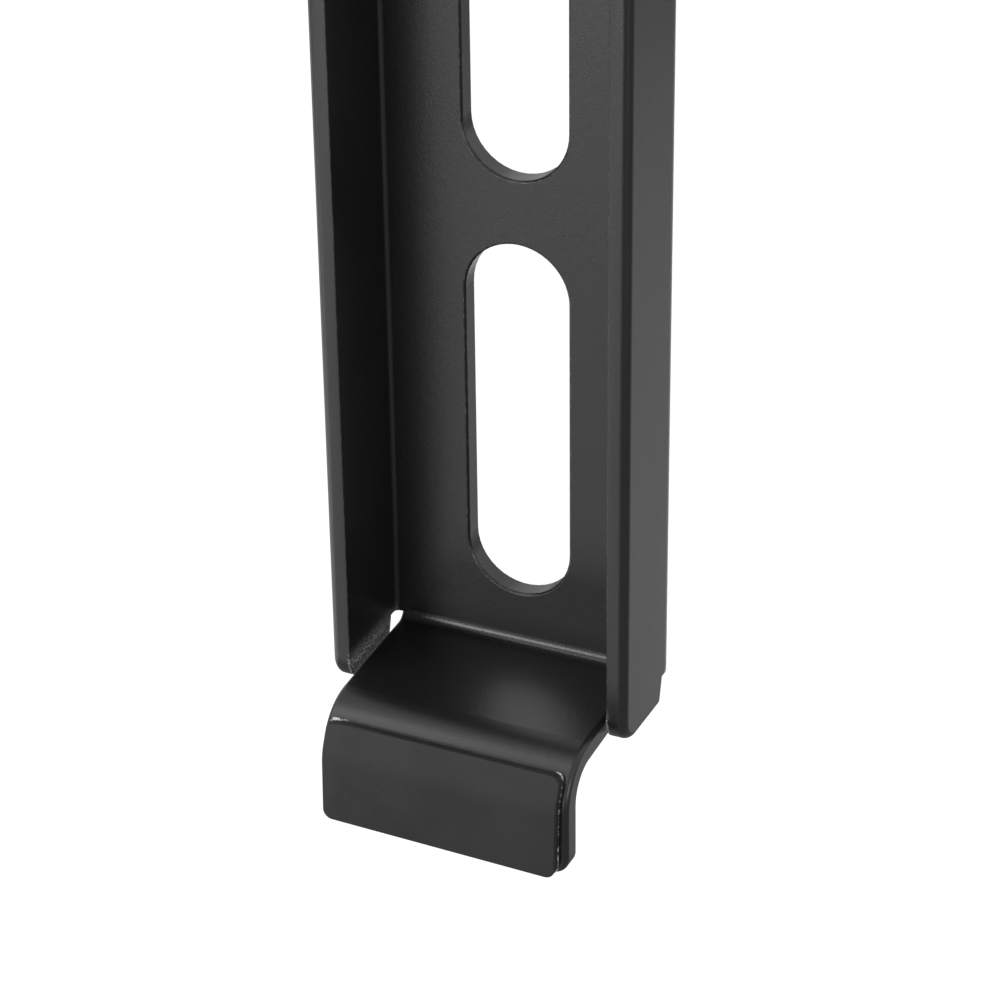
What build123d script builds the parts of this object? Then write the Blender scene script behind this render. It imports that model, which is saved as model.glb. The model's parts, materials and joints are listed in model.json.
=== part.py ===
from build123d import *
import math
import os

# Axes: X across the arm, Y away from the wall, Z up. The television lies against Y = 0,
# and Z = 0 is the middle of the row of slots. All sizes are in millimetres.

# Folded steel sheet
sheet = 1.6
arm_width = 25.0
arm_depth = 9.8
channel_bend = 0.4
edge_round = 0.65

# Row of screw slots in the web
slot_width = 8.5
slot_length = 29.8
slot_pitch = 35.0
slot_count = 7
slot_rollover = 0.15

# Foot and hook, the two tongues of the web that run on between the flanges
tongue_clearance = 0.5
tongue_corner = 1.4
tongue_round = 0.4
tongue_bend = 0.8
foot_margin = 3.65
foot_slope = 3.5
foot_bend = 2.7
foot_drop = 11.25
hook_margin = 19.3
hook_bend = 2.0
hook_drop = 12.7

# Ends of the flanges, and the reliefs beside the tongues
flange_overrun = 2.9
flange_front_corner = 2.2
flange_back_corner = 1.2
relief_start = 0.4
relief_depth = 2.5
relief_flare = 0.6

# Television to wall, and the pad that meets the wall
wall_gap = 16.9
pad_thickness = 0.75
pad_height = 9.1
pad_inset = 0.45
pad_lift = 0.3
pad_corner = 0.5
adhesive_thickness = 0.15

row_end = (slot_count - 1) * slot_pitch / 2 + slot_length / 2
foot_fold = -row_end - foot_margin
foot_end = foot_fold - foot_drop
hook_fold = row_end + hook_margin
hook_end = hook_fold - hook_drop
tongue_width = arm_width - 2 * sheet - 2 * tongue_clearance
tongue_front = wall_gap - pad_thickness - adhesive_thickness


def channel_section():
    """U section seen from above, with its open side towards the wall."""
    with BuildSketch(Plane.XY.offset(foot_fold - flange_overrun)) as section:
        with BuildLine():
            FilletPolyline(
                (-arm_width / 2, -arm_depth),
                (-arm_width / 2, 0),
                (arm_width / 2, 0),
                (arm_width / 2, -arm_depth),
                radius=channel_bend + sheet,
            )
            offset(amount=sheet, side=Side.RIGHT)
        make_face()
    return section.sketch


def channel_outline():
    """Channel seen from the side, with the web cut back from the flanges' ends."""
    low_web = foot_fold - relief_start
    low_flange = foot_fold - flange_overrun
    high_web = hook_fold + relief_start
    high_flange = hook_fold + flange_overrun
    with BuildSketch(Plane.YZ.offset(-arm_width / 2)) as outline:
        with BuildLine():
            Polyline(
                (0, low_web),
                (-relief_depth, low_web),
                (-relief_depth - relief_flare, low_flange),
                (-arm_depth, low_flange),
                (-arm_depth, high_flange),
                (-relief_depth - relief_flare, high_flange),
                (-relief_depth, high_web),
                (0, high_web),
                close=True,
            )
        make_face()
        columns = outline.vertices().group_by(Axis.X)
        fillet(columns[0], flange_front_corner)
        fillet(columns[1], flange_back_corner)
    return outline.sketch


def foot_strip():
    """Side view of the foot: out from the web on a slight slope, then down as a tab."""
    root = foot_fold - tongue_bend
    knee = root - (tongue_front - sheet) * math.tan(math.radians(foot_slope))
    with BuildSketch(Plane.YZ.offset(-tongue_width / 2)) as strip:
        with BuildLine():
            FilletPolyline(
                (-sheet, foot_fold + tongue_bend),
                (-sheet, root),
                (-tongue_front, knee),
                (-tongue_front, foot_end),
                radius=(tongue_bend, foot_bend + sheet),
            )
            offset(amount=sheet, side=Side.LEFT)
        make_face()
    return strip.sketch


def hook_strip():
    """Side view of the hook: level over the wall rail, then down in front of it."""
    seat = hook_fold + tongue_bend
    with BuildSketch(Plane.YZ.offset(-tongue_width / 2)) as strip:
        with BuildLine():
            FilletPolyline(
                (-sheet, hook_fold - tongue_bend),
                (-sheet, seat),
                (sheet - tongue_front, seat),
                (sheet - tongue_front, hook_end),
                radius=(tongue_bend, hook_bend),
            )
            offset(amount=sheet, side=Side.RIGHT)
        make_face()
    return strip.sketch


def tongue(strip, tip):
    """Tongue cut from its side view, with the corners of its tip and its outer edges rounded."""
    with BuildPart() as body:
        extrude(strip, tongue_width, dir=(1, 0, 0))
        corners = body.edges().filter_by(Axis.Y)
        fillet(corners.filter_by_position(Axis.Z, tip - 0.01, tip + 0.01), tongue_corner)
        fillet(body.edges().filter_by(Axis.Z).group_by(Axis.Y)[0], tongue_round)
    return body.part


def pad_outline(distance):
    """Rounded rectangle of the pad and its adhesive film, at a distance in front of Y = 0."""
    with BuildSketch(Plane.XZ.offset(distance)) as outline:
        with Locations((0, foot_end + pad_lift + pad_height / 2)):
            RectangleRounded(tongue_width - 2 * pad_inset, pad_height, pad_corner)
    return outline.sketch


with BuildPart() as bracket_arm:
    extrude(channel_section(), hook_fold - foot_fold + 2 * flange_overrun, dir=(0, 0, 1))
    extrude(channel_outline(), arm_width, dir=(1, 0, 0), mode=Mode.INTERSECT)
    rims = bracket_arm.faces().group_by(Axis.Y)[0].edges().filter_by(Axis.Z)
    fillet(rims.group_by(Axis.X)[0] + rims.group_by(Axis.X)[-1], edge_round)
    add(tongue(foot_strip(), foot_end))
    add(tongue(hook_strip(), hook_end))
    with BuildSketch(Plane.XZ):
        with GridLocations(slot_width, slot_pitch, 1, slot_count):
            SlotOverall(slot_length, slot_width, rotation=90)
    extrude(amount=sheet, mode=Mode.SUBTRACT)
    chamfer(bracket_arm.edges(Select.LAST).group_by(Axis.Y)[0], slot_rollover)

with BuildPart() as adhesive_film:
    extrude(pad_outline(tongue_front), adhesive_thickness, dir=(0, -1, 0))

with BuildPart() as wall_pad:
    extrude(pad_outline(tongue_front + adhesive_thickness), pad_thickness, dir=(0, -1, 0))

bracket_arm.part.label = "bracket_arm"
adhesive_film.part.label = "adhesive_film"
wall_pad.part.label = "wall_pad"

os.makedirs("parts", exist_ok=True)
export_step(bracket_arm.part, "parts/bracket_arm.step")
export_step(adhesive_film.part, "parts/adhesive_film.step")
export_step(wall_pad.part, "parts/wall_pad.step")
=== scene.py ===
"""Looks of the arm of a fixed TV wall mount: a folded steel channel, black powder coat,
with a thin foam pad stuck to its foot. Metres, in the frame of the CAD part."""

import json
import math

import bmesh
import bpy
from mathutils import Matrix, Vector

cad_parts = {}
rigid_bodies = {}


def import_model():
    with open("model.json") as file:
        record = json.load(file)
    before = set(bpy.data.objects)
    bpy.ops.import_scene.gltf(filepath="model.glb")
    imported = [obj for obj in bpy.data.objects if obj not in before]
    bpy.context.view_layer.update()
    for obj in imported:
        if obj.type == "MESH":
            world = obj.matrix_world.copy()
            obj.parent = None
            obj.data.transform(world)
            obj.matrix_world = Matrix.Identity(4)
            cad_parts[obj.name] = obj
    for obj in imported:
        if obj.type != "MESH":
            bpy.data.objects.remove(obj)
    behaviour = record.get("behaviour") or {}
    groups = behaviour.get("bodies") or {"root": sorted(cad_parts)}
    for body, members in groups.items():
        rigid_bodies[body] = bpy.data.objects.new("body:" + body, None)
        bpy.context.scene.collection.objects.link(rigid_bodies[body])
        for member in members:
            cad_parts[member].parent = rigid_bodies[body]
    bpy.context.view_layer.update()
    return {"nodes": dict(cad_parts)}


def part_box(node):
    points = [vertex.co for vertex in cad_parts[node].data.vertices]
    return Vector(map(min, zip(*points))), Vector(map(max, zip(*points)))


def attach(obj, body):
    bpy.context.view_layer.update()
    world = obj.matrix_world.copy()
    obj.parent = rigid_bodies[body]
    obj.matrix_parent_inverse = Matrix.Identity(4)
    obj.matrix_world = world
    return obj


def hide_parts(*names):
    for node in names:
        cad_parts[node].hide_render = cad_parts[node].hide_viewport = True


MM = 0.001

# Camera, as the photograph was taken
CAMERA_AZIMUTH = 25.08
CAMERA_ELEVATION = 28.534
CAMERA_ROLL = -0.74
CAMERA_PLACE = (93.56 * MM, -204.88 * MM, 10.11 * MM)
CAMERA_LENS = 118.66
SENSOR_WIDTH = 36.0

# Fronts of the flanges: their middle, half width and slight curve, and the faces inside them
FLANGE_MIDDLE = 11.7 * MM
FLANGE_HALF = 0.8 * MM
FLANGE_CURVE = 0.045 * MM
FLANGE_INSIDE = 10.9 * MM

# Inside bends of the foot and the hook, where the coat pools and dries smooth
BEND_DEPTH = -1.6 * MM
BEND_MIDDLE = 7.825 * MM
BEND_RISE = 132.175 * MM
BEND_REACH = 1.1 * MM

# Powder coat: sizes of its patterns, depth of its relief, tones and gloss
PEEL_SIZE = 0.6 * MM
GRAIN_SIZE = 0.17 * MM
PATCH_SIZE = 9.0 * MM
COAT_RELIEF = 0.014 * MM
COAT_TONES = (0.006, 0.009)
COAT_ROUGHNESS = 0.29
COAT_IOR = 1.5

# Worn rims, whose pale tone is partly wear and partly a painted highlight on the edges: size of
# the pale pieces, width of a rim, and how much of the pale there is off the slots.
# The slots lie within SLOT_SIDE of the middle, and end short of the inside bends
WEAR_GLINT_SIZE = 0.45 * MM
RIM_REACH = 0.14 * MM
WEAR_GLINT_ELSEWHERE = 0.25
WEAR_GLINT_TONE = 0.24
SLOT_SIDE = 5.5 * MM
SLOT_END = -3.5 * MM

# Coarse spray inside the flanges, whose pale specks are painted grazing highlights. It starts
# short of the inside bends and is full beyond them
SPRAY_GLINT_START = -1.4 * MM
SPRAY_GLINT_FULL = 0.6 * MM
SPRAY_GLINT_TONE = 0.3

# Foam of the pad: sizes of its patterns, depth of its relief, tones and gloss
PORE_SIZE = 0.14 * MM
FOAM_GRAIN_SIZE = 0.09 * MM
FOAM_PATCH_SIZE = 5.0 * MM
FOAM_RELIEF = 0.008 * MM
FOAM_TONES = (0.014, 0.019)
# Tone in the pores: painted shade in the pits
PORE_SHADE_TONE = 0.008
# Tones of the sides that face away from the front: partly cut foam, partly painted shade
CUT_AND_SHADE_TONES = (0.002, 0.02)
FOAM_ROUGHNESS = 0.62
FOAM_IOR = 1.4

# Adhesive film: middle of its width, where its pale sides start and are full, and its pattern.
# Off the sides its tone is dark, painted shade of the gap along the pad's top
FILM_MIDDLE = 0.35 * MM
PALE_START = 8.55 * MM
PALE_FULL = 9.3 * MM
PALE_SIZE = 0.32 * MM
STREAK_SIZE = 0.2 * MM
FILM_RELIEF = 0.02 * MM
FILM_SHADE_AND_PALE_TONES = (0.02, 0.6)
FILM_IOR = 1.47

# Pad and its adhesive film, cut a little out of square. Of each corner, lower left, lower right,
# upper left, upper right: how far it is moved across and along, and its radius
PAD_CORNERS = (
    (0.0, 0.0, 0.8 * MM),
    (-0.2 * MM, 0.0, 0.8 * MM),
    (0.0, -0.82 * MM, 0.25 * MM),
    (-0.2 * MM, -0.51 * MM, 0.8 * MM),
)
PAD_NICK = 0.2 * MM
PAD_EDGE = 0.1 * MM
FILM_CORNERS = (
    (0.0, 0.0, 0.6 * MM),
    (-0.2 * MM, 0.0, 0.6 * MM),
    (0.0, -0.82 * MM, 0.3 * MM),
    (-0.2 * MM, -0.51 * MM, 0.62 * MM),
)
FILM_EDGE = 0.03 * MM
NICK_START = -8.4 * MM
LAYER_TURN = 1.1
CORNER_SEGMENTS = 8
EDGE_SEGMENTS = 3
SHARP_ANGLE = 1.2
FOOT_FRONT = -16.0 * MM

# Their upper part lies on the foot's bend and leaves it near the end. It follows only this share
# of the bend's curve, which keeps it clear of the coat
CURL_SHARE = 0.97
CURL_START = -129.28 * MM
CURL_RADIUS = 4.3 * MM
CURL_LEAVE = 1.8 * MM
CURL_REACH = 3.6 * MM
CURL_STEPS = 14
END_LEAN = 0.1

# Stage. The floor glows for the camera alone. The room's level is its light on the arm, and is 1
# where the camera or a reflection looks at it
FLOOR_DROP = 400.0 * MM
FLOOR_SIZE = 6.0
FLOOR_TONE = 0.3
FLOOR_GLOW = 0.82
ROOM_LEVEL = 0.75
LIGHT_AIM = (0.0, -8.0 * MM, -100.0 * MM)

# Soft lights: azimuth, elevation, distance, side, level (white being 1)
LIGHTS = {
    "front_key": (-27, 20, 0.9, 0.33, 7.4),
    "left_fill": (-60, 50, 0.9, 0.33, 4.3),
    "right_fill": (60, 5, 0.9, 0.33, 4.5),
    "low_front": (-8, -12, 0.6, 0.14, 3.8),
    "low_upper": (-22, -12, 0.6, 0.14, 3.4),
    "low_lower": (-22, -36, 0.6, 0.14, 1.65),
    "low_middle": (-36, -24, 0.6, 0.14, 1.75),
    "low_left": (-50, -24, 0.6, 0.14, 3.0),
    "low_side": (-64, -30, 0.6, 0.14, 3.0),
    "low_far_left": (-98, -27, 0.6, 0.3, 1.3),
    "behind_right": (155, -28, 0.6, 0.22, 0.46),
    "behind_low": (185, -25, 0.6, 0.22, 1.35),
    "behind_left": (-155, 30, 0.9, 0.33, 0.5),
}


class Socket:
    """An output of a shader node. Arithmetic on it adds Math nodes."""

    def __init__(self, shader, output):
        self.shader = shader
        self.output = output

    def math(self, operation, *others):
        values = dict(enumerate((self, *others)))
        return self.shader.add("ShaderNodeMath", {"operation": operation}, values)

    def __add__(self, other):
        return self.math("ADD", other)

    def __sub__(self, other):
        return self.math("SUBTRACT", other)

    def __mul__(self, other):
        return self.math("MULTIPLY", other)

    def __truediv__(self, other):
        return self.math("DIVIDE", other)

    def __rsub__(self, other):
        return (self * -1) + other

    __radd__ = __add__
    __rmul__ = __mul__

    def ramp(self, low, high):
        """Smooth step from 0 at low to 1 at high."""
        settings = {"interpolation_type": "SMOOTHSTEP"}
        values = {"Value": self, "From Min": low, "From Max": high}
        return self.shader.add("ShaderNodeMapRange", settings, values)


class Shader:
    """The nodes of one material or world."""

    def __init__(self, owner):
        owner.use_nodes = True
        self.owner = owner
        self.tree = owner.node_tree
        self.tree.nodes.clear()

    def add(self, kind, settings=None, values=None, output=0):
        """Adds a node, with its settings set first, and returns one of its outputs."""
        node = self.tree.nodes.new(kind)
        for name, value in (settings or {}).items():
            setattr(node, name, value)
        for name, value in (values or {}).items():
            if isinstance(value, Socket):
                self.tree.links.new(value.output, node.inputs[name])
            else:
                node.inputs[name].default_value = value
        return Socket(self, node.outputs[output]) if len(node.outputs) else node

    def position(self):
        return self.add("ShaderNodeTexCoord", output="Object")

    def axis(self, place, letter):
        """One coordinate of a place."""
        return self.add("ShaderNodeSeparateXYZ", None, {"Vector": place}, letter)

    def noise(self, place, size, detail=2.0, roughness=0.5):
        """Noise with features of that size, in metres."""
        values = {"Vector": place, "Scale": 1 / size, "Detail": detail, "Roughness": roughness}
        return self.add("ShaderNodeTexNoise", None, values, "Fac")

    def dot(self, first, second):
        """Dot product of two vectors."""
        values = {0: first, 1: second}
        return self.add("ShaderNodeVectorMath", {"operation": "DOT_PRODUCT"}, values, "Value")

    def mix(self, factor, first, second):
        """Blend of two colours."""
        values = {"Factor": factor, 6: first, 7: second}
        return self.add("ShaderNodeMix", {"data_type": "RGBA"}, values, 2)

    def bump(self, height, distance, normal=None):
        """Normal of a relief with that height, times a distance in metres."""
        values = {"Strength": 1.0, "Distance": distance, "Height": height}
        if normal is not None:
            values["Normal"] = normal
        return self.add("ShaderNodeBump", None, values)

    def ray(self, kind):
        """Whether the ray is of a kind, such as Is Camera Ray."""
        return self.add("ShaderNodeLightPath", None, None, kind)

    def finish(self, surface, output="ShaderNodeOutputMaterial"):
        self.add(output, None, {"Surface": surface})
        return self.owner

    def finish_plastic(self, tone, roughness, ior, normal):
        """Ends a material with a Principled shader that has neither metal nor clear coat."""
        values = {"Base Color": tone, "Roughness": roughness, "IOR": ior, "Normal": normal}
        return self.finish(self.add("ShaderNodeBsdfPrincipled", None, values))


def grey(level):
    return (level, level, level, 1.0)


def powder_coat():
    """Black satin powder coat: orange peel with a fine grain, thin and pale on worn rims, where
    the pale also paints highlights on the edges, and with pale specks inside the flanges that
    paint grazing highlights.
    """
    shader = Shader(bpy.data.materials.new("powder_coat"))
    place = shader.position()
    peel = shader.noise(place, PEEL_SIZE, 1.0, 0.5)
    grain = shader.noise(place, GRAIN_SIZE, 2.0, 0.55)
    patches = shader.noise(place, PATCH_SIZE)

    across = shader.axis(place, "X").math("ABSOLUTE")
    deep = shader.axis(place, "Y") - BEND_DEPTH
    along = shader.axis(place, "Z") - BEND_MIDDLE
    above = along.math("ABSOLUTE") - BEND_RISE

    # Wear and painted edge highlight: rims are where the rounded normal leaves the flat one. The
    # pale there is partly worn coat and partly painted highlight
    rounded = shader.add("ShaderNodeBevel", {"samples": 8}, {"Radius": RIM_REACH}, "Normal")
    flat = shader.add("ShaderNodeNewGeometry", None, None, "True Normal")
    slots = across.ramp(SLOT_SIDE + 0.5 * MM, SLOT_SIDE) * above.ramp(SLOT_END + MM, SLOT_END)
    edge = (1 - shader.dot(rounded, flat)).ramp(0.02, 0.12)
    edge = edge * (WEAR_GLINT_ELSEWHERE + (1 - WEAR_GLINT_ELSEWHERE) * slots)
    worn_and_glint = edge * shader.noise(place, WEAR_GLINT_SIZE, 2.0, 0.7).ramp(0.46, 0.66)

    # Coat that pooled in the inside bends, and overspray on the flanges' inner faces beside them,
    # whose pale specks are painted grazing highlights
    pooled = (deep * deep + above * above).math("SQRT").ramp(BEND_REACH, 0.6 * BEND_REACH)
    inside = (across - FLANGE_INSIDE).math("ABSOLUTE").ramp(0.25 * MM, 0.1 * MM)
    spray_and_glint = inside * above.ramp(SPRAY_GLINT_START, SPRAY_GLINT_FULL)

    dark, pale = COAT_TONES
    tone = shader.mix(patches, grey(dark), grey(pale))
    # Pale on the rims: partly wear, partly painted edge highlight
    tone = shader.mix(worn_and_glint, tone, grey(WEAR_GLINT_TONE))
    # Pale specks on the overspray's grain: painted grazing highlights
    tone = shader.mix(spray_and_glint * grain.ramp(0.42, 0.6), tone, grey(SPRAY_GLINT_TONE))
    roughness = COAT_ROUGHNESS + 0.03 * patches + 0.05 * grain - 0.06 * pooled

    off = ((across - FLANGE_MIDDLE) / FLANGE_HALF).math("MAXIMUM", -1.0)
    height = (0.4 * peel + (0.6 + 2.0 * spray_and_glint) * grain) * COAT_RELIEF - off * off * FLANGE_CURVE
    bump = shader.bump(height, 1.0, rounded)
    return shader.finish_plastic(tone, roughness, COAT_IOR, bump)


def foam():
    """Matte dark foam with fine closed pores, darkened in the pores as painted shade, and darker
    on its sides that face away from the front, partly as cut foam and partly as painted shade.
    """
    shader = Shader(bpy.data.materials.new("pad_foam"))
    place = shader.position()
    pore_values = {"Vector": place, "Scale": 1 / PORE_SIZE}
    pores = shader.add("ShaderNodeTexVoronoi", {"feature": "F1"}, pore_values, "Distance")
    grain = shader.noise(place, FOAM_GRAIN_SIZE, 2.0, 0.6)
    patches = shader.noise(place, FOAM_PATCH_SIZE)
    normal = shader.add("ShaderNodeTexCoord", None, None, "Normal")
    front = shader.dot(normal, (0, -1, 0))

    dark, pale = FOAM_TONES
    tone = shader.mix(patches.ramp(0.3, 0.7), grey(dark), grey(pale))
    # Darker towards each pore's centre: painted shade in the pits
    tone = shader.mix(pores.ramp(0.25, 0.0) * 0.4, tone, grey(PORE_SHADE_TONE))
    # Sides that face away from the front are darker: partly cut foam, partly painted shade
    dark, pale = CUT_AND_SHADE_TONES
    cut_and_shade = shader.mix(grain.ramp(0.45, 0.6), grey(dark), grey(pale))
    tone = shader.mix(front.ramp(0.3, 0.8), cut_and_shade, tone)
    bump = shader.bump(pores + 0.6 * grain, FOAM_RELIEF)
    return shader.finish_plastic(tone, FOAM_ROUGHNESS + 0.12 * grain, FOAM_IOR, bump)


def adhesive():
    """Adhesive film, pale along the short sides of the pad and broken into pieces there by a
    noise; dark elsewhere, as painted shade of the gap along the pad's top.
    """
    shader = Shader(bpy.data.materials.new("adhesive_film"))
    place = shader.position()
    across = (shader.axis(place, "X") - FILM_MIDDLE).math("ABSOLUTE")
    pieces = shader.noise(place, PALE_SIZE, 3.0, 0.7).ramp(0.46, 0.6)
    streaks = shader.noise(place, STREAK_SIZE, 1.0, 0.5)

    dark, pale = FILM_SHADE_AND_PALE_TONES
    # Dark off the pale sides: painted shade in the gap under the pad's top
    tone = shader.mix(across.ramp(PALE_START, PALE_FULL) * pieces, grey(dark), grey(pale))
    bump = shader.bump(streaks, FILM_RELIEF)
    return shader.finish_plastic(tone, 0.3 + 0.2 * streaks, FILM_IOR, bump)


def floor_finish():
    """Pale floor that the camera sees as white, with the shadows kept."""
    shader = Shader(bpy.data.materials.new("pale_floor"))
    diffuse = shader.add("ShaderNodeBsdfDiffuse", None, {"Color": grey(FLOOR_TONE)})
    strength = shader.ray("Is Camera Ray") * FLOOR_GLOW
    glow = shader.add("ShaderNodeEmission", None, {"Color": grey(1.0), "Strength": strength})
    return shader.finish(shader.add("ShaderNodeAddShader", None, {0: diffuse, 1: glow}))


def mesh_piece(name, shape, material):
    """Turns a bmesh into an object at the origin."""
    mesh = bpy.data.meshes.new(name)
    shape.to_mesh(mesh)
    shape.free()
    mesh.materials.append(material)
    piece = bpy.data.objects.new(name, mesh)
    bpy.context.scene.collection.objects.link(piece)
    return piece


def curl_at(rise):
    """How far back a layer lies, at a height above the start of the foot's bend."""
    held = min(max(rise, 0.0), CURL_LEAVE)
    level = math.sqrt(CURL_RADIUS ** 2 - held ** 2)
    return CURL_SHARE * (CURL_RADIUS - level + max(rise - held, 0.0) * held / level)


def cut_across(shape, place, normal):
    """Adds an edge loop in a plane."""
    everything = list(shape.verts) + list(shape.edges) + list(shape.faces)
    bmesh.ops.bisect_plane(shape, geom=everything, dist=1e-7, plane_co=place, plane_no=normal)


def die_cut(name, node, corners, nick, rim, material):
    """Die-cut layer in the place of a CAD node, turned, and curled over the foot's bend.

    The corners are as in PAD_CORNERS. The nick is how far the upper left one is cut down, and the
    rim is the rounding of the cut edges."""
    low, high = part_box(node)
    size, middle = high - low, (low + high) / 2
    shape = bmesh.new()
    bmesh.ops.create_cube(shape, size=1.0)
    bmesh.ops.scale(shape, vec=size, verts=shape.verts)
    bmesh.ops.translate(shape, vec=middle, verts=shape.verts)
    for vert in shape.verts:
        across, along, _ = corners[2 * (vert.co.z > middle.z) + (vert.co.x > middle.x)]
        vert.co += Vector((across, 0, along))
    cut_across(shape, (NICK_START, 0, 0), (1, 0, 0))
    for vert in shape.verts:
        if vert.co.z > middle.z and vert.co.x < NICK_START - MM:
            vert.co.z -= nick
    for number, (_, _, radius) in enumerate(corners):
        upper, right = divmod(number, 2)
        edge = [
            e for e in shape.edges
            if abs(e.verts[0].co.y - e.verts[1].co.y) > size.y / 2
            and e.calc_face_angle() > SHARP_ANGLE
            and (e.verts[0].co.z > middle.z) == upper and (e.verts[0].co.x > middle.x) == right
        ]
        bmesh.ops.bevel(
            shape, geom=edge, offset=radius, offset_type="OFFSET", affect="EDGES",
            segments=CORNER_SEGMENTS, profile=0.5, material=-1,
        )
    rims = [e for e in shape.edges if e.calc_face_angle() > SHARP_ANGLE]
    bmesh.ops.bevel(
        shape, geom=rims, offset=rim, offset_type="OFFSET", affect="EDGES",
        segments=EDGE_SEGMENTS, profile=0.5, material=-1,
    )
    turn = Matrix.Rotation(math.radians(LAYER_TURN), 3, "Y")
    bmesh.ops.rotate(shape, cent=middle, matrix=turn, verts=shape.verts)
    for step in range(CURL_STEPS):
        height = CURL_START + CURL_REACH * step / CURL_STEPS
        cut_across(shape, (0, 0, height), (0, 0, 1))
    for vert in shape.verts:
        rise = vert.co.z - CURL_START
        share = min(max(rise / CURL_REACH, 0.0), 1.0)
        vert.co.z += END_LEAN * (FOOT_FRONT - vert.co.y) * share
        vert.co.y += curl_at(rise)
    for face in shape.faces:
        face.smooth = True
    return mesh_piece(name, shape, material)


def direction(azimuth, elevation):
    """Direction of a viewer or a light, in degrees from the front and from the level."""
    a, e = math.radians(azimuth), math.radians(elevation)
    return Vector((math.sin(a) * math.cos(e), -math.cos(a) * math.cos(e), math.sin(e)))


def make_camera():
    """Camera at the photograph's viewing angle."""
    azimuth, roll = math.radians(CAMERA_AZIMUTH), math.radians(CAMERA_ROLL)
    back = direction(CAMERA_AZIMUTH, CAMERA_ELEVATION)
    level = Vector((math.cos(azimuth), math.sin(azimuth), 0))
    upright = back.cross(level)
    right = math.cos(roll) * level + math.sin(roll) * upright
    up = math.cos(roll) * upright - math.sin(roll) * level
    data = bpy.data.cameras.new("photo_camera")
    data.lens = CAMERA_LENS
    data.sensor_width = SENSOR_WIDTH
    data.clip_start = 0.01
    data.clip_end = 50.0
    camera = bpy.data.objects.new("photo_camera", data)
    bpy.context.scene.collection.objects.link(camera)
    turn = Matrix((right, up, back)).transposed().to_4x4()
    camera.matrix_world = Matrix.Translation(CAMERA_PLACE) @ turn
    bpy.context.scene.camera = camera


def soft_light(name, azimuth, elevation, distance, side, level):
    """Square soft light aimed at the foot of the arm. Level is its brightness, white being 1."""
    back = direction(azimuth, elevation)
    data = bpy.data.lights.new(name, "AREA")
    data.shape = "SQUARE"
    data.size = side
    data.energy = level * math.pi * side ** 2
    lamp = bpy.data.objects.new(name, data)
    bpy.context.scene.collection.objects.link(lamp)
    lamp.location = Vector(LIGHT_AIM) + back * distance
    lamp.rotation_mode = "QUATERNION"
    lamp.rotation_quaternion = (-back).to_track_quat("-Z", "Y")
    lamp.visible_camera = False


def make_world():
    """Even pale surroundings, white where the camera or a reflection looks at them."""
    shader = Shader(bpy.data.worlds.new("pale_room"))
    seen = shader.ray("Is Camera Ray").math("MAXIMUM", shader.ray("Is Glossy Ray"))
    seen = seen.math("MAXIMUM", shader.ray("Is Transmission Ray"))
    strength = ROOM_LEVEL + (1 - ROOM_LEVEL) * seen
    values = {"Color": grey(1.0), "Strength": strength}
    background = shader.add("ShaderNodeBackground", None, values)
    bpy.context.scene.world = shader.finish(background, "ShaderNodeOutputWorld")


def make_stage():
    """Floor below the arm."""
    low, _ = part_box("bracket_arm")
    shape = bmesh.new()
    bmesh.ops.create_grid(shape, x_segments=1, y_segments=1, size=FLOOR_SIZE / 2)
    bmesh.ops.translate(shape, vec=(0, 0, low.z - FLOOR_DROP), verts=shape.verts)
    floor = mesh_piece("floor", shape, floor_finish())


for leftover in list(bpy.data.objects):
    bpy.data.objects.remove(leftover)

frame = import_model()

make_camera()
make_world()
make_stage()
for name, values in LIGHTS.items():
    soft_light(name, *values)

frame["nodes"]["bracket_arm"].material_slots[0].material = powder_coat()

film = die_cut("film", "adhesive_film", FILM_CORNERS, 0.0, FILM_EDGE, adhesive())
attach(film, "root")
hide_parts("adhesive_film")

pad = die_cut("foam_pad", "wall_pad", PAD_CORNERS, PAD_NICK, PAD_EDGE, foam())
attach(pad, "root")
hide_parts("wall_pad")

bpy.context.scene.view_settings.view_transform = "Standard"
